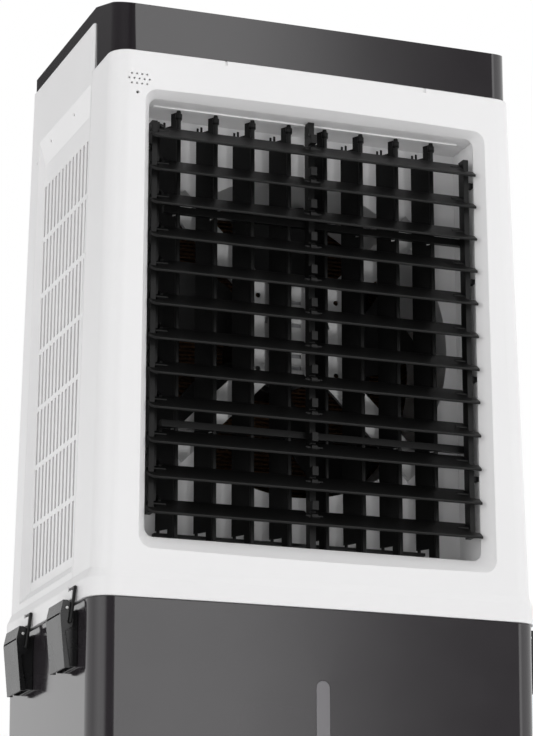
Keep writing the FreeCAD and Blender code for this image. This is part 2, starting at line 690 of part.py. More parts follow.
def make_motor_bracket():
    """Pressed plate with four folded diagonal arms that reach the shroud wall."""
    y, sheet_metal, fold = -85.0, 1.6, 4.8
    axis = value("fan_height")
    pieces = [slab((-55, y, axis - 51), (55, y + sheet_metal, axis + 51))]
    for quarter in range(4):
        arm = slab((40, y, axis - 14), (176, y + sheet_metal, axis + 14))
        for edge in (-14, 12.6):
            arm = arm.fuse(slab((62, y + 1.4, axis + edge), (176, y + fold, axis + edge + 1.4)))
        arm = arm.fuse(slab((168, y, axis - 14), (184, y + fold, axis + 14)))
        arm.rotate(Vector(0, y, axis), Vector(0, 1, 0), 45 + 90 * quarter)
        pieces.append(arm)
    plate = pieces[0].fuse(pieces[1:])
    cutters = []
    for x in (-1, 1):
        for z in (-1, 1):
            cutters.append(Part.makeCylinder(2.6, 6, Vector(x * 42, y - 2, axis + z * 38), Vector(0, 1, 0)))
            middle = Vector(x * 30, y, axis + z * 22)
            slot = slab((middle.x - 1.6, y - 2, middle.z - 13), (middle.x + 1.6, y + 4, middle.z + 13))
            slot.rotate(middle, Vector(0, 1, 0), -x * z * 16)
            cutters.append(slot)
    for z in (-34, -22, -10, 10, 22, 34):
        cutters.append(slab((-6, y - 2, axis + z - 2), (4, y + 4, axis + z + 2)))
    return made("motor_bracket", plate.cut(cutters).removeSplitter())


def make_fan_motor():
    """Round motor can with a bearing nose and a blind shaft bore at its back end."""
    body = new_body("FanMotor")
    profile = outline(body, "MotorProfile", "XY_Plane", [
        (0, 0), (40, 0), (46, 5), (46, 44), (40, 50), (15, 52), (13, 57), (5.05, 57), (5.05, 30), (0, 30)])
    turned(body, profile)
    place(body, 0, -83.2, "fan_height")
    return publish(body, "fan_motor")


def make_fan_rotor():
    """Hub with its shaft stub and five pitched, swept blades."""
    centre = Vector(0, 0, value("fan_height"))
    hub = Part.makeCylinder(44, 34, Vector(0, -18, centre.z), Vector(0, 1, 0))
    hub = hub.cut(Part.makeCylinder(40, 29, Vector(0, -19, centre.z), Vector(0, 1, 0)))
    stub = Part.makeCylinder(5, 62, Vector(0, -49, centre.z), Vector(0, 1, 0))
    boss = Part.makeCylinder(10, 30, Vector(0, -17, centre.z), Vector(0, 1, 0))
    pieces = [stub, boss]
    stations = ((41, 46, 52, 0), (80, 66, 38, 4), (120, 80, 30, 11), (value("fan_radius"), 84, 24, 20))
    for number in range(5):
        sections = []
        for radius, chord, pitch, sweep in stations:
            angle = math.radians(72 * number + sweep)
            along = Vector(math.cos(angle), 0, math.sin(angle))
            across = Vector(-math.sin(angle), 0, math.cos(angle))
            lead = math.radians(pitch)
            chordwise = across * math.cos(lead) + Vector(0, math.sin(lead), 0)
            normal = across * -math.sin(lead) + Vector(0, math.cos(lead), 0)
            middle = centre + along * radius + Vector(0, -1, 0)
            points = [middle - chordwise * (chord / 2) - normal * 0.9, middle - normal * -2.6,
                      middle + chordwise * (chord / 2) - normal * 0.9]
            lower = [points[0] - normal * 1.4, points[1] - normal * 2.4, points[2] - normal * 1.4]
            top = Part.Arc(points[0], points[1], points[2]).toShape()
            end = Part.LineSegment(points[2], lower[2]).toShape()
            under = Part.Arc(lower[2], lower[1], lower[0]).toShape()
            start = Part.LineSegment(lower[0], points[0]).toShape()
            sections.append(Part.Wire([top, end, under, start]))
        pieces.append(Part.makeLoft(sections, True, False))
    return made("fan_rotor", hub.fuse(pieces).removeSplitter())


def make_swing_motor():
    """Small geared motor under the duct that sweeps the fins."""
    can = rod("SwingCan", 15, 14, (-120, -98, 436.6))
    gear = box("SwingGear", (26, 20, 6), (-146, -108, 444.6))
    return publish(fuse("SwingMotor", can, gear), "swing_motor")


# ---------------------------------------------------------------- back, pads and water path
def make_rear_frame():
    """Rear panel: a plate with a raised rim and rows of intake slots."""
    body = new_body("RearFrame")
    plate = rectangle(body, "RearPlate", "XZ_Plane", (-199.6, "tank_top + 0.6"), (199.6, "side_top"))
    pad(body, plate, 3)
    rim = rectangle(body, "RearRim", "XZ_Plane", (-190, 438), (190, 932), "-5")
    pad(body, rim, 5)
    sunk = rectangle(body, "RearRimInside", "XZ_Plane", (-186, 442), (186, 928), "-6")
    inside = pocket(body, sunk, 6, symmetric=False)
    inside.Reversed = False
    for side in (-1, 1):
        ends = sorted((side * 4, side * 180))
        slot = rectangle(body, f"IntakeSlot{side + 1}", "XZ_Plane", (ends[0], 450), (ends[1], 459))
        first = pocket(body, slot, 20)
        row = body.newObject("PartDesign::LinearPattern", f"IntakeRow{side + 1}")
        row.Originals = [first]
        row.Direction = (slot, ["V_Axis"])
        row.Length = 16 * 28
        row.Occurrences = 29
        body.Tip = row
    for x in (-1, 1):
        for number, z in enumerate(REAR_SCREWS):
            hole = disc(body, f"RearScrewHole{x + 1}_{number}", "XZ_Plane", (x * REAR_SCREW_X, z), 1.7)
            pocket(body, hole, 20)
    outlet = disc(body, "GlandHole", "XZ_Plane", (-150, 412), 7.1)
    pocket(body, outlet, 20)
    place(body, 0, "rear_face", 0)
    return publish(body, "rear_frame")


def make_cooling_pads():
    """Three wet pads: one across the back and one behind each side grille."""
    rear = box("RearPad", (368, 26, 476), (-184, 116, 446))
    sides = [box(f"SidePad{side + 1}", (20, 162, 430), (186 if side > 0 else -206, -54, 446))
             for side in (-1, 1)]
    return publish(group("CoolingPads", rear, *sides), "cooling_pads")


def make_distribution_tray():
    """Open U-shaped trough over the pads, with a drip hole every 24 mm."""
    outer = fuse("TrayOuter", box("TrayBack", (412, 52, 18), (-206, 92, 928)),
                 box("TrayLeft", (24, 152, 18), (-206, -56, 928)),
                 box("TrayRight", (24, 152, 18), (182, -56, 928)))
    inner = fuse("TrayInner", box("TrayBackInside", (408, 48, 18), (-204, 94, 930)),
                 box("TrayLeftInside", (20, 152, 18), (-204, -54, 930)),
                 box("TrayRightInside", (20, 152, 18), (184, -54, 930)))
    holes = [rod(f"DripBack{n}", 2, 8, (-168 + 24 * n, 129, 925)) for n in range(15)]
    for side in (-1, 1):
        holes += [rod(f"DripSide{side + 1}_{n}", 2, 8, (side * 196, -40 + 24 * n, 925)) for n in range(5)]
    holes.append(rod("RiserHole", 6.3, 8, (150, 103, 925)))
    return publish(cut("DistributionTray", cut("TrayShell", outer, inner), *holes), "distribution_tray")


def make_water_pump():
    """Submersible pump on the tank floor with its riser pipe to the tray."""
    base = rod("PumpBase", 27, 12, (150, 78, "tank_floor + 4.3"))
    can = rod("PumpCan", 22, 60, (150, 78, "tank_floor + 14"))
    spout = box("PumpSpout", (16, 32, 14), (142, 78, "tank_floor + 46"))
    riser = rod("Riser", 6, "938 - tank_floor - 55", (150, 103, "tank_floor + 55"))
    bore = rod("RiserBore", 4.5, "938 - tank_floor - 30", (150, 103, "tank_floor + 50"))
    return publish(cut("WaterPump", fuse("PumpBody", base, can, spout, riser), bore), "water_pump")


def make_control_board():
    """Circuit board under the control deck with its main parts."""
    board = box("Board", (150, 44, 1.6), (-75, -136, 968))
    chips = [box(f"Chip{n}", (12 + 6 * (n % 2), 10, 3 + 2 * (n % 3)),
                 (-62 + 26 * n, -128 + 9 * (n % 3), 969.6)) for n in range(5)]
    return publish(fuse("ControlBoard", board, *chips), "control_board")


def make_drain_plug():
    body = new_body("DrainPlug")
    profile = outline(body, "PlugProfile", "XY_Plane", [
        (0, -6), (8, -6), (8, 0.4), (12, 0.4), (12, 2.4), (6, 2.4), (6, 3.4), (0, 3.4)])
    turned(body, profile)
    place(body, 0, "rear_face + 1.2", "tank_floor + 22")
    return publish(body, "drain_plug")


def make_cable_gland():
    """Gland for the mains inlet, with an empty bore."""
    body = new_body("CableGland")
    profile = outline(body, "GlandProfile", "XY_Plane", [
        (3.5, -10), (10, -10), (10, -3.6), (7, -3.6), (7, 0.4), (11, 0.4), (11, 3), (8, 4.8), (3.5, 4.8)])
    turned(body, profile)
    place(body, -150, "rear_face", 412)
    return publish(body, "cable_gland")


def make_screws():
    """Small pan-head screws: three a side panel and six in the rear panel."""
    solids = []
    for x in (-1, 1):
        for number, z in enumerate(REAR_SCREWS):
            tag, across = f"{x + 1}_{number}", x * REAR_SCREW_X
            shank = rod(f"RearShank{tag}", 1.5, 9, (across, "rear_face - 8.8", z), ALONG_Y)
            head = rod(f"RearHead{tag}", 3.2, 1.8, (across, "rear_face + 0.1", z), ALONG_Y)
            solids.append(fuse(f"RearScrew{tag}", shank, head))
        for number, (y, z) in enumerate(SIDE_SCREWS):
            start = 207.5 if x > 0 else -212.5
            solids.append(rod(f"SideScrew{x + 1}_{number}", 1.5, 5, (start, y, z), ALONG_X))
    return publish(group("Screws", *solids), "screws")


# ---------------------------------------------------------------- latches
def plate_across(points, near, far):
    """A section in the XZ plane, extruded along Y between two stations."""
    face = Part.Face(Part.makePolygon([Vector(x, near, z) for x, z in points + points[:1]]))
    return face.extrude(Vector(0, far - near, 0))


def on_side(solid, side):
    """The same solid for the right side, or its mirror image for the left."""
    return solid if side > 0 else solid.mirror(Vector(), Vector(1, 0, 0))


def latch_pin(side, y):
    return Vector(side * value("half_width_tank + latch_pin_out"), y, value("latch_pin_height"))


def make_latch_bases():
    """Four brackets on the tank: back plate, two cheeks and the lever's pin."""
    cheek = [(-11.3, -55.3), (-4.7, -55.3), (2.6, -10), (2.6, -1), (1.8, 1.6), (0, 2.5), (-1.8, 1.6),
             (-5, -2.5), (-11.3, -2.5)]
    back = [(-11.3, -55.3), (-9.3, -55.3), (-9.3, -2.5), (-11.3, -2.5)]
    solids = []
    for side in (-1, 1):
        for y in (value("latch_front"), value("latch_rear")):
            pieces = [plate_across(cheek, -22.1, -20.1), plate_across(cheek, 20.1, 22.1)]
            pieces.append(Part.makeCylinder(1.8, 49.8, Vector(0, -24.9, 0), Vector(0, 1, 0)))
            solid = plate_across(back, -20.2, 20.2).fuse(pieces).removeSplitter()
            solid = on_side(solid, side)
            solid.translate(latch_pin(side, y))
            solids.append(solid)
    return made("latch_bases", Part.makeCompound(solids))


def make_lever(label, side, y):
    """Channel-shaped lever over the bracket's cheeks; its origin is its own pin."""
    cheek = [(6.5, -6.3), (1.5, -56.8), (-4, -56.5), (1.5, -22), (-5.5, -18), (-6.5, -12), (-6.5, -1),
             (-5, 5), (0, 7.4), (3.8, 7.4), (6.3, -4.5)]
    handle = [(6.5, -6.3), (1.5, -56.8), (-0.5, -56.6), (4.5, -6.1)]
    crown = [(6.3, -4.5), (3.8, 7.4), (1.8, 7.0), (4.3, -4.9)]
    half = 24.5
    solid = plate_across(cheek, -half, -half + 2).fuse([plate_across(cheek, half - 2, half),
                                                       plate_across(handle, -half, half),
                                                       plate_across(crown, -half, half)])
    pin_bore = Part.makeCylinder(1.85, 60, Vector(0, -30, 0), Vector(0, 1, 0))
    pivot = Vector(-value("bail_in"), -30, -value("bail_drop"))
    wire_bore = Part.makeCylinder(value("wire_radius") + 0.05, 20, pivot, Vector(0, 1, 0))
    solid = on_side(solid.cut([pin_bore, wire_bore]).removeSplitter(), side)
    return made(label, solid, Placement(latch_pin(side, y), Rotation()))


def make_bail(label, side, y):
    """Bent wire from the lever's front cheek up to a hook over the catch; its origin is its own pivot."""
    radius = value("wire_radius")
    leg, hook_end, top = -26.9, -12.5, Vector(-4.0, 0, 33.0)
    route = [Vector(0, -22.6, 0), Vector(0, leg, 0), Vector(top.x, leg, top.z),
             Vector(top.x, hook_end, top.z)]
    pieces = []
    for start, finish in zip(route, route[1:]):
        run = finish - start
        pieces.append(Part.makeCylinder(radius, run.Length, start, run))
    for bend in route[1:-1]:
        pieces.append(Part.makeSphere(radius, bend))
    solid = on_side(pieces[0].fuse(pieces[1:]).removeSplitter(), side)
    at = latch_pin(side, y) - Vector(side * value("bail_in"), 0, value("bail_drop"))
    return made(label, solid, Placement(at, Rotation()))


# ---------------------------------------------------------------- casters
def make_caster(number, x, y):
    fork = new_body(f"CasterFork{number}")
    crown = rectangle(fork, f"Crown{number}", "XY_Plane",
                      (-15, -14), (15, "wheel_trail + 8"), "tank_floor - 4.5")
    pad(fork, crown, 4)
    for side, low in ((-1, -15), (1, 12)):
        leg = outline(fork, f"Leg{number}_{side + 1}", "YZ_Plane", [
            (-13, "tank_floor - 2.5"), ("wheel_trail - 7", "wheel_radius - 5"),
            ("wheel_trail + 7", "wheel_radius - 5"), ("wheel_trail + 8", "tank_floor - 2.5")], low)
        pad(fork, leg, 3)
    stem = disc(fork, f"Stem{number}", "XY_Plane", (0, 0), 5, "tank_floor - 2")
    pad(fork, stem, 22)
    axle = disc(fork, f"Axle{number}", "YZ_Plane", ("wheel_trail", "wheel_radius"), 3)
    pad(fork, axle, 32, symmetric=True)
    place(fork, x, y, 0)
    publish(fork, f"caster_fork_{number}")
    wheel = new_body(f"CasterWheel{number}")
    profile = outline(wheel, f"WheelProfile{number}", "XY_Plane", [
        (3.05, -9), (9, -9), (9, -7), (16, -7), (16, -9), ("wheel_radius - 2", -9), ("wheel_radius", -6),
        ("wheel_radius", 6), ("wheel_radius - 2", 9), (16, 9), (16, 7), (9, 7), (9, 9), (3.05, 9)])
    turned(wheel, profile)
    place(wheel, x, f"{y} + wheel_trail", "wheel_radius", turn=Rotation(Vector(0, 0, 1), -90))
    publish(wheel, f"caster_wheel_{number}")


# ---------------------------------------------------------------- the whole cooler
make_front_panel()
make_side_panel("left_side_panel", -1)
make_side_panel("right_side_panel", 1)
make_top_cover()
make_rear_frame()
make_air_duct()
make_motor_bracket()
make_fan_motor()
make_fan_rotor()
make_swing_motor()
for slat in range(int(value("slat_count"))):
    make_slat(slat)
make_slat_link()
make_pivot_strips()
make_louvre_support()
for fin in range(int(value("fin_count"))):
    make_fin(fin)
make_fin_link()
make_cooling_pads()
make_distribution_tray()
make_water_pump()
make_control_board()
make_water_tank()
make_level_window()
make_drain_plug()
make_cable_gland()
make_screws()
make_latch_bases()
for tag, side, spot in (("left_front", -1, "latch_front"), ("left_rear", -1, "latch_rear"),
                        ("right_front", 1, "latch_front"), ("right_rear", 1, "latch_rear")):
    make_lever(f"latch_lever_{tag}", side, value(spot))
    make_bail(f"latch_bail_{tag}", side, value(spot))
for number, (sx, sy) in enumerate(((-1, -1), (1, -1), (-1, 1), (1, 1)), 1):
    make_caster(number, sx * value("caster_x"), sy * value("caster_y"))

doc.recompute()

failed = [item.Name for item in doc.Objects if "Invalid" in item.State or "Error" in item.State]
for item in SUBPARTS:
    if item.Shape.isNull() or not item.Shape.isValid():
        failed.append(item.Label)
if failed:
    raise RuntimeError("failed: " + ", ".join(failed))

os.makedirs("parts", exist_ok=True)
for item in SUBPARTS:
    item.Shape.exportStep(f"parts/{item.Label}.step")
whole = Part.makeCompound([item.Shape for item in SUBPARTS]).BoundBox
print(len(SUBPARTS), "parts", whole)
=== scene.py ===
import json
import math

import bpy
from mathutils import Matrix, Vector


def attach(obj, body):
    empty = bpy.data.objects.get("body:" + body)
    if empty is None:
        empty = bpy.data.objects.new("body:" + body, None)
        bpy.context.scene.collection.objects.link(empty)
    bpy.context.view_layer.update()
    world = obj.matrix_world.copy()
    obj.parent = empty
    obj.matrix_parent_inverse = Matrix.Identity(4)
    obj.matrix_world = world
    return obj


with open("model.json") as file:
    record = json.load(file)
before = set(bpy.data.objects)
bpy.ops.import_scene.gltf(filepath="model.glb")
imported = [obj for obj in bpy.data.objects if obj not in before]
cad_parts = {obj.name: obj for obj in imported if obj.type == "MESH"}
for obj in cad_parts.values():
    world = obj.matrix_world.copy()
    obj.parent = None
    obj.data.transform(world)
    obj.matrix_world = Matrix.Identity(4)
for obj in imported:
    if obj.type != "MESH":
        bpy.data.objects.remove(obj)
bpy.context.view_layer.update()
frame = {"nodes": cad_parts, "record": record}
nodes = frame["nodes"]
scene = bpy.context.scene
scene.view_settings.view_transform = "Standard"


# ---------------------------------------------------------------- materials
class Shader:
    """A Principled material that grows its own node tree."""

    def __init__(self, name, color, rough, **sockets):
        self.material = bpy.data.materials.new(name)
        self.material.use_nodes = True
        self.tree = self.material.node_tree
        self.main = self.tree.nodes["Principled BSDF"]
        self.color, self.rough = color, rough
        self.main.inputs["Base Color"].default_value = (*color, 1)
        self.main.inputs["Roughness"].default_value = rough
        for socket, amount in sockets.items():
            self.main.inputs[socket.replace("_", " ")].default_value = amount
        self.where = self.add("ShaderNodeTexCoord").outputs["Object"]
        self.normal = None

    def add(self, kind, **inputs):
        node = self.tree.nodes.new(kind)
        for socket, amount in inputs.items():
            node.inputs[socket.replace("_", " ")].default_value = amount
        return node

    def link(self, source, target):
        self.tree.links.new(source, target)

    def noise(self, scale, detail=3.0, rough=0.55):
        node = self.add("ShaderNodeTexNoise", Scale=scale, Detail=detail, Roughness=rough)
        self.link(self.where, node.inputs["Vector"])
        return node.outputs["Fac"]

    def ranged(self, source, low, high, start=0.3, end=0.7):
        node = self.add("ShaderNodeMapRange")
        for index, amount in ((1, start), (2, end), (3, low), (4, high)):
            node.inputs[index].default_value = amount
        self.link(source, node.inputs[0])
        return node.outputs[0]

    def tinted(self, source, other, start=0.3, end=0.7):
        """The base colour drifts towards the other one where the source is high."""
        mix = self.add("ShaderNodeMix")
        mix.data_type = "RGBA"
        mix.inputs["A"].default_value = (*self.color, 1)
        mix.inputs["B"].default_value = (*other, 1)
        current = self.main.inputs["Base Color"]
        if current.is_linked:
            self.link(current.links[0].from_socket, mix.inputs["A"])
        self.link(self.ranged(source, 0.0, 1.0, start, end), mix.inputs["Factor"])
        self.link(mix.outputs["Result"], self.main.inputs["Base Color"])

    def worn(self, source, low, high, start=0.3, end=0.7):
        self.link(self.ranged(source, low, high, start, end), self.main.inputs["Roughness"])

    def bump(self, source, depth, strength=1.0):
        node = self.add("ShaderNodeBump", Strength=strength, Distance=depth)
        self.link(source, node.inputs["Height"])
        if self.normal is not None:
            self.link(self.normal, node.inputs["Normal"])
        self.normal = node.outputs["Normal"]
        self.link(self.normal, self.main.inputs["Normal"])

    def soft_edges(self, radius):
        node = self.add("ShaderNodeBevel", Radius=radius)
        node.samples = 4
        self.normal = node.outputs["Normal"]
        self.link(self.normal, self.main.inputs["Normal"])


def moulded(name, color, rough, grain=1800.0, depth=0.00001, edge=0.0008, drift=0.03, spread=0.08,
            **sockets):
    """Injection-moulded plastic: soft edges, a fine grain and slow drifts in shade and gloss."""
    shader = Shader(name, color, rough, **sockets)
    if edge:
        shader.soft_edges(edge)
    shader.bump(shader.noise(grain, 2.0), depth)
    slow = shader.noise(5.0, 4.0)
    shader.tinted(slow, [max(0.0, c * (1 - drift)) for c in color])
    shader.worn(shader.noise(22.0, 5.0), rough, rough + spread)
    return shader


def make_materials():
    looks = {}
    white = (0.8, 0.795, 0.8)
    looks["housing_white"] = moulded("HousingWhite", white, 0.34, edge=0.0012,
                                     Specular_IOR_Level=0.45)
    # Painted light: the duct is the housing's white plastic, made lighter here to stand in for light
    # falling into the duct.
    looks["duct_white"] = moulded("DuctWhitePaintedLight", (0.88, 0.875, 0.88), 0.38)
    looks["cap_gloss"] = moulded("CapGloss", (0.019, 0.0165, 0.019), 0.06, grain=260.0, drift=0.25,
                                 spread=0.04, Coat_Weight=0.4, Coat_Roughness=0.05)
    looks["tank_gloss"] = moulded("TankGloss", (0.02, 0.0175, 0.02), 0.09, grain=260.0, drift=0.2,
                                  spread=0.05, Coat_Weight=0.3, Coat_Roughness=0.08)
    looks["louvre_black"] = moulded("LouvreBlack", (0.0045, 0.0045, 0.0045), 0.34, grain=2600.0,
                                    depth=0.00003, edge=0.0006, drift=0.3, spread=0.12,
                                    Specular_IOR_Level=0.28)
    looks["latch_black"] = moulded("LatchBlack", (0.01, 0.01, 0.0105), 0.22, edge=0.0007, drift=0.25)
    looks["dark_plastic"] = moulded("DarkPlastic", (0.03, 0.03, 0.031), 0.42, grain=1500.0,
                                    depth=0.00004, drift=0.2)
    looks["fan_plastic"] = moulded("FanPlastic", (0.012, 0.012, 0.012), 0.38, drift=0.25)
    looks["rubber_black"] = moulded("RubberBlack", (0.015, 0.015, 0.015), 0.7, grain=900.0, depth=0.00006)
    looks["wheel_tyre"] = moulded("WheelTyre", (0.02, 0.02, 0.02), 0.6, grain=700.0, depth=0.00008)
    looks["wire_black"] = moulded("WireBlack", (0.02, 0.02, 0.02), 0.3, edge=0, Metallic=0.6)
    looks["window_clear"] = moulded("WindowClear", (0.22, 0.213, 0.225), 0.12, drift=0.1,
                                    Transmission_Weight=0.35, IOR=1.49)
    for slot, name, color, rough in (("bracket_metal", "BracketMetal", (0.62, 0.62, 0.62), 0.32),
                                     ("motor_metal", "MotorMetal", (0.3, 0.3, 0.31), 0.36),
                                     ("screw_steel", "ScrewSteel", (0.5, 0.5, 0.5), 0.3)):
        looks[slot] = moulded(name, color, rough, grain=900.0, depth=0.00002, Metallic=0.85)
    pad = Shader("PadCellulose", (0.16, 0.075, 0.03), 0.85)
    wave = pad.add("ShaderNodeTexWave", Scale=70.0, Distortion=1.2, Detail=1.0)
    wave.bands_direction = "Z"
    pad.link(pad.where, wave.inputs["Vector"])
    pad.bump(wave.outputs["Fac"], 0.003)
    pad.tinted(wave.outputs["Fac"], (0.05, 0.022, 0.01), 0.2, 0.8)
    pad.tinted(pad.noise(300.0), (0.24, 0.13, 0.06), 0.5, 0.8)
    looks["pad_cellulose"] = pad
    looks["circuit_board"] = moulded("CircuitBoard", (0.02, 0.12, 0.045), 0.35, grain=500.0,
                                     depth=0.00005, drift=0.3)
    return {slot: look.material for slot, look in looks.items()}


materials = make_materials()
slot_of = {part["node"]: part["material_slot"] for part in frame["record"]["subparts"]}
for name, node in nodes.items():
    node.data.materials.clear()
    node.data.materials.append(materials[slot_of[name]])


# ---------------------------------------------------------------- studio
def aim(item, place, target):
    item.location = place
    item.rotation_euler = (Vector(target) - Vector(place)).to_track_quat("-Z", "Y").to_euler()


def soft_light(name, place, target, size, watts):
    data = bpy.data.lights.new(name, "AREA")
    data.shape = "RECTANGLE"
    data.size, data.size_y = size
    data.energy = watts
    lamp = bpy.data.objects.new(name, data)
    scene.collection.objects.link(lamp)
    aim(lamp, place, target)
    return lamp


# The surround that gives most of the light and is seen in the glossy parts: degrees to the right of
# straight out of the front, and a strength. The stops were tuned against the photograph, so
# they suit the photograph's camera best.
SURROUND = ((-180, 1.1), (-120, 1.0), (-90, 0.95), (-60, 1.6), (-36, 1.5), (-20, 0.1), (6.5, 0.05),
            (8.5, 0.3), (10, 2.15), (18, 2.15), (21, 1.5), (24, 0.65), (28, 0.15), (31, 0.3), (34, 1.4),
            (38, 2.3), (43, 1.1), (90, 1.0), (140, 0.9), (180, 1.1))
SURROUND_PEAK = 3.0
# On the left only: sine of the elevation, and the share of SURROUND that is kept.
HIGH_LEFT = ((0.0, 1.0), (0.245, 1.0), (0.33, 0.06), (0.6, 0.3), (1.0, 1.0))


def fill_ramp(ramp, stops):
    """Grey stops; the first two that a new ramp has are used again."""
    for index, (place, shade) in enumerate(stops):
        if index < 2:
            stop = ramp.elements[index]
            stop.position = place
        else:
            stop = ramp.elements.new(place)
        stop.color = (shade, shade, shade, 1)


def make_surround(tree):
    """Soft boxes and dark flags round the object, as one smooth function of direction."""
    def add(kind, operation=None):
        node = tree.nodes.new(kind)
        if operation:
            node.operation = operation
        return node

    where = add("ShaderNodeTexCoord")
    split = add("ShaderNodeSeparateXYZ")
    tree.links.new(where.outputs["Generated"], split.inputs[0])
    flipped = add("ShaderNodeMath", "MULTIPLY")
    flipped.inputs[1].default_value = -1
    tree.links.new(split.outputs["Y"], flipped.inputs[0])
    angle = add("ShaderNodeMath", "ARCTAN2")
    tree.links.new(split.outputs["X"], angle.inputs[0])
    tree.links.new(flipped.outputs[0], angle.inputs[1])
    share = add("ShaderNodeMath", "MULTIPLY_ADD")
    share.inputs[1].default_value = 1 / (2 * math.pi)
    share.inputs[2].default_value = 0.5
    tree.links.new(angle.outputs[0], share.inputs[0])
    around = add("ShaderNodeValToRGB")
    fill_ramp(around.color_ramp,
              [(0.5 + degrees / 360, strength / SURROUND_PEAK) for degrees, strength in SURROUND])
    tree.links.new(share.outputs[0], around.inputs["Fac"])
    upward = add("ShaderNodeValToRGB")
    fill_ramp(upward.color_ramp, HIGH_LEFT)
    tree.links.new(split.outputs["Z"], upward.inputs["Fac"])
    left_only = add("ShaderNodeMapRange")
    for index, amount in ((1, -0.2), (2, 0.0), (3, 1.0), (4, 0.0)):
        left_only.inputs[index].default_value = amount
    tree.links.new(split.outputs["X"], left_only.inputs[0])
    mix = add("ShaderNodeMix")
    mix.data_type = "RGBA"
    mix.blend_type = "MULTIPLY"
    tree.links.new(left_only.outputs[0], mix.inputs["Factor"])
    tree.links.new(around.outputs["Color"], mix.inputs["A"])
    tree.links.new(upward.outputs["Color"], mix.inputs["B"])
    return mix.outputs["Result"]


FLOOR_RADIUS, FLOOR_SIDES = 1.6, 96
LIGHT_TARGET = (0, 0, 0.7)
# LowFront is below the floor's level. The floor casts no shadow, so that this light gets through.
LIGHTS = (("LowFront", (-0.5, -2.6, -0.35), (1.0, 1.0), 6),
          ("FillLeft", (-2.7, -2.1, 0.7), (1.6, 2.0), 15),
          ("FillRight", (3.0, -1.6, 0.8), (1.2, 2.0), 13))


def make_studio():
    """White backdrop for the camera, the surround for other rays, and lights hidden from reflections."""
    world = bpy.data.worlds.new("Studio")
    scene.world = world
    world.use_nodes = True
    tree = world.node_tree
    tree.nodes.clear()
    output = tree.nodes.new("ShaderNodeOutputWorld")
    mix = tree.nodes.new("ShaderNodeMixShader")
    path = tree.nodes.new("ShaderNodeLightPath")
    seen = tree.nodes.new("ShaderNodeBackground")
    seen.inputs["Color"].default_value = (1, 1, 1, 1)
    around = tree.nodes.new("ShaderNodeBackground")
    around.inputs["Strength"].default_value = SURROUND_PEAK
    tree.links.new(make_surround(tree), around.inputs["Color"])
    tree.links.new(path.outputs["Is Camera Ray"], mix.inputs["Fac"])
    tree.links.new(around.outputs[0], mix.inputs[1])
    tree.links.new(seen.outputs[0], mix.inputs[2])
    tree.links.new(mix.outputs[0], output.inputs["Surface"])

    for name, place, size, watts in LIGHTS:
        soft_light(name, place, LIGHT_TARGET, size, watts).visible_glossy = False

    floor_mesh = bpy.data.meshes.new("floor")
    turns = [2 * math.pi * n / FLOOR_SIDES for n in range(FLOOR_SIDES)]
    ring = [(FLOOR_RADIUS * math.cos(turn), FLOOR_RADIUS * math.sin(turn), 0) for turn in turns]
    floor_mesh.from_pydata(ring, [], [tuple(range(FLOOR_SIDES))])
    floor = bpy.data.objects.new("floor", floor_mesh)
    scene.collection.objects.link(floor)
    floor.visible_shadow = False
    pale = Shader("FloorPale", (0.8, 0.8, 0.8), 0.6)
    pale.tinted(pale.noise(3.0), (0.78, 0.78, 0.78))
    floor.data.materials.append(pale.material)


# Solved by least squares from edges measured in the photograph; metres, degrees and millimetres.
CAMERA_PLACE = (-0.9793, -2.6188, -0.0894)
CAMERA_YAW = 20.48
CAMERA_PITCH = 15.19
CAMERA_LENS = 137.39


def make_camera():
    data = bpy.data.cameras.new("Camera")
    data.lens = CAMERA_LENS
    data.sensor_width = 36.0
    data.clip_start = 0.01
    camera = bpy.data.objects.new("Camera", data)
    scene.collection.objects.link(camera)
    camera.location = CAMERA_PLACE
    camera.rotation_euler = (math.radians(90 + CAMERA_PITCH), 0, math.radians(-CAMERA_YAW))
    scene.camera = camera


# ---------------------------------------------------------------- small pieces
def finish_piece(name, mesh, material, body="housing"):
    item = bpy.data.objects.new(name, mesh)
    scene.collection.objects.link(item)
    mesh.materials.append(material)
    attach(item, body)
    return item


def lathe_disc(name, centre, along, radius, thick, rim, sides=40):
    """A disc with a rounded rim, its axis along the given direction."""
    profile = [(0.0, thick / 2), (radius - rim, thick / 2), (radius - rim * 0.3, thick / 2 - rim * 0.3),
               (radius, thick / 2 - rim), (radius, -thick / 2), (0.0, -thick / 2)]
    points, faces = [], []
    for step in range(sides):
        turn = 2 * math.pi * step / sides
        points += [(r * math.cos(turn), r * math.sin(turn), h) for r, h in profile]
    count = len(profile)
    for step in range(sides):
        following = (step + 1) % sides
        for level in range(count - 1):
            faces.append((step * count + level, step * count + level + 1,
                          following * count + level + 1, following * count + level))
    mesh = bpy.data.meshes.new(name)
    mesh.from_pydata(points, [], faces)
    mesh.transform(Vector(along).to_track_quat("Z", "Y").to_matrix().to_4x4())
    mesh.transform(Matrix.Translation(centre))
    mesh.validate()
    for face in mesh.polygons:
        face.use_smooth = True
    return mesh


def rounded_plate(name, half_x, half_y, thick, radius, matrix, steps=8):
    """A flat plate with round corners, laid by the matrix."""
    rim = []
    for sx, sy, start in ((1, 1, 0), (-1, 1, 90), (-1, -1, 180), (1, -1, 270)):
        for step in range(steps + 1):
            turn = math.radians(start + 90 * step / steps)
            rim.append((sx * (half_x - radius) + radius * math.cos(turn),
                        sy * (half_y - radius) + radius * math.sin(turn)))
    count = len(rim)
    points = [(x, y, 0) for x, y in rim] + [(x, y, thick) for x, y in rim]
    faces = [tuple(range(count - 1, -1, -1)), tuple(range(count, 2 * count))]
    faces += [(n, (n + 1) % count, (n + 1) % count + count, n + count) for n in range(count)]
    mesh = bpy.data.meshes.new(name)
    mesh.from_pydata(points, [], faces)
    mesh.transform(matrix)
    return mesh


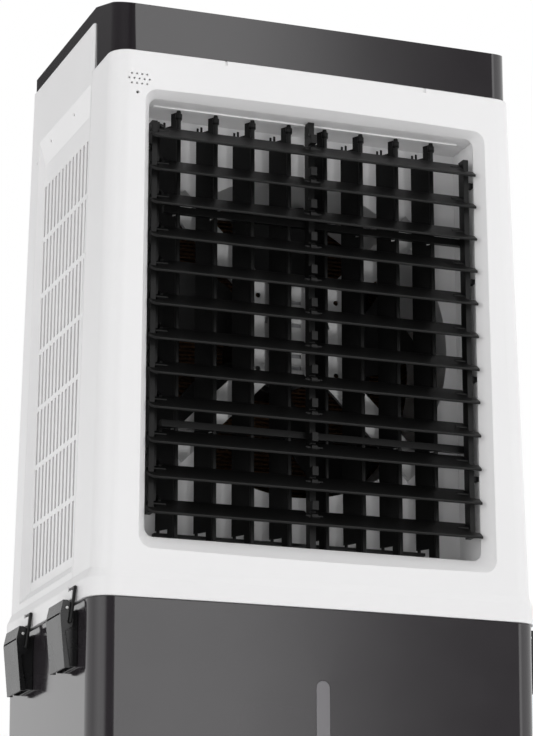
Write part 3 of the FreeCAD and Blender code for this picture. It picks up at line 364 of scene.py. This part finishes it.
# The lever pins: places as in the record, and the reach of a pin's front end from its lever's middle.
PIN_X, PIN_Z, PIN_END = 0.241, 0.3863, 0.0249
LATCH_Y = {"front": -0.0805, "rear": 0.0725}
PIN_DOT_RADIUS, PIN_DOT_THICK, PIN_DOT_RIM = 0.0015, 0.0003, 0.0001
PIN_DOT_GAP = 0.0001

# The sloped deck, as (y, z) of its two ends, and what lies on it.
DECK_FRONT, DECK_BACK = (-0.1552, 0.9863), (-0.0742, 1.0095)
DISPLAY_Y, DISPLAY_SINK = -0.122, 0.0007
DISPLAY_HALF_X, DISPLAY_HALF_Y, DISPLAY_THICK, DISPLAY_CORNER = 0.0455, 0.0135, 0.0004, 0.002
KEY_COUNT, KEY_PITCH, KEY_SIDES = 6, 0.0125, 36
KEY_RADII = (0.0036, 0.0040)
KEY_DOWN, KEY_LIFT = 0.004, 0.00045


def make_pin_dots():
    """Bright ends of the lever pins."""
    steel = moulded("PinEnd", (0.72, 0.72, 0.71), 0.3, drift=0.1).material
    for row, y in LATCH_Y.items():
        for hand, side in (("left", -1), ("right", 1)):
            name = f"pin_end_{hand}_{row}"
            centre = (side * PIN_X, y - PIN_END - PIN_DOT_GAP, PIN_Z)
            disc = lathe_disc(name, centre, (0, -1, 0), PIN_DOT_RADIUS, PIN_DOT_THICK, PIN_DOT_RIM)
            finish_piece(name, disc, steel)


def make_controls():
    """Glass display and a row of ringed touch keys on the sloped deck."""
    rise = math.atan2(DECK_BACK[1] - DECK_FRONT[1], DECK_BACK[0] - DECK_FRONT[0])
    share = (DISPLAY_Y - DECK_FRONT[0]) / (DECK_BACK[0] - DECK_FRONT[0])
    height = DECK_FRONT[1] + share * (DECK_BACK[1] - DECK_FRONT[1])
    lay = Matrix.Translation((0, DISPLAY_Y, height - DISPLAY_SINK)) @ Matrix.Rotation(rise, 4, "X")
    glass = moulded("DisplayGlass", (0.01, 0.01, 0.012), 0.06, drift=0.2, spread=0.03,
                    Coat_Weight=0.5).material
    plate = rounded_plate("display_glass", DISPLAY_HALF_X, DISPLAY_HALF_Y, DISPLAY_THICK,
                          DISPLAY_CORNER, lay)
    finish_piece("display_glass", plate, glass)
    print_grey = moulded("KeyPrint", (0.5, 0.5, 0.5), 0.5, drift=0.1).material
    for number in range(KEY_COUNT):
        across = (number - (KEY_COUNT - 1) / 2) * KEY_PITCH
        ring = bpy.data.meshes.new(f"key_ring_{number + 1}")
        points, faces = [], []
        for step in range(KEY_SIDES):
            turn = 2 * math.pi * step / KEY_SIDES
            for radius in KEY_RADII:
                points.append((radius * math.cos(turn), radius * math.sin(turn), 0))
            near, far = 2 * step, 2 * ((step + 1) % KEY_SIDES)
            faces.append((near, near + 1, far + 1, far))
        ring.from_pydata(points, [], faces)
        ring.transform(lay @ Matrix.Translation((across, -KEY_DOWN, KEY_LIFT)))
        finish_piece(f"key_ring_{number + 1}", ring, print_grey)


FIN_COUNT, FIN_PITCH, FIN_AXIS = 8, 0.0392, -0.1135
COLLAR_RADIUS, COLLAR_LOW, COLLAR_HIGH, COLLAR_RIM = 0.0034, 0.8845, 0.8905, 0.0006


def make_fin_collars():
    """Moulded collar round the head of each fin's hinge."""
    for number in range(FIN_COUNT):
        name = f"fin_collar_{number + 1}"
        across = (number - (FIN_COUNT - 1) / 2) * FIN_PITCH
        centre = (across, FIN_AXIS, (COLLAR_LOW + COLLAR_HIGH) / 2)
        mesh = lathe_disc(name, centre, (0, 0, 1), COLLAR_RADIUS, COLLAR_HIGH - COLLAR_LOW, COLLAR_RIM)
        finish_piece(name, mesh, materials["louvre_black"], f"fin_{number + 1}")


FLUTE_PITCH = 0.007
FLUTE_STEPS = 8
FLUTE_DEPTH = 0.0009
PAD_LOW = 0.448
SIDE_PAD_HIGH, SIDE_PAD_RUN, SIDE_PAD_FACE = 0.874, (-0.053, 0.107), 0.2071
REAR_PAD_HIGH, REAR_PAD_RUN, REAR_PAD_FACE = 0.92, (-0.183, 0.183), 0.1432


def fluted_sheet(name, low, high, along, across, out):
    """A sheet with level flutes between two heights, run from one end to the other along an axis."""
    count = int((high - low) / FLUTE_PITCH) * FLUTE_STEPS
    start, end = along
    points, faces = [], []
    for step in range(count + 1):
        height = low + (high - low) * step / count
        swell = out * FLUTE_DEPTH * math.sin(2 * math.pi * step / FLUTE_STEPS)
        for reach in (start, end):
            points.append((across + swell, reach, height))
        if step:
            near = 2 * (step - 1)
            faces.append((near, near + 1, near + 3, near + 2))
    mesh = bpy.data.meshes.new(name)
    mesh.from_pydata(points, [], faces)
    for face in mesh.polygons:
        face.use_smooth = True
    return mesh


def make_pad_flutes():
    """The pads' corrugated outer faces, seen through the side grilles and the rear slots."""
    pad = materials["pad_cellulose"]
    for name, side in (("left", -1), ("right", 1)):
        mesh = fluted_sheet(f"pad_flutes_{name}", PAD_LOW, SIDE_PAD_HIGH, SIDE_PAD_RUN,
                            side * SIDE_PAD_FACE, side)
        finish_piece(f"pad_flutes_{name}", mesh, pad)
    rear = fluted_sheet("pad_flutes_rear", PAD_LOW, REAR_PAD_HIGH, REAR_PAD_RUN, -REAR_PAD_FACE, 1)
    rear.transform(Matrix.Rotation(math.radians(-90), 4, "Z"))
    finish_piece("pad_flutes_rear", rear, pad)


make_studio()
make_camera()
make_pin_dots()
make_controls()
make_fin_collars()
make_pad_flutes()
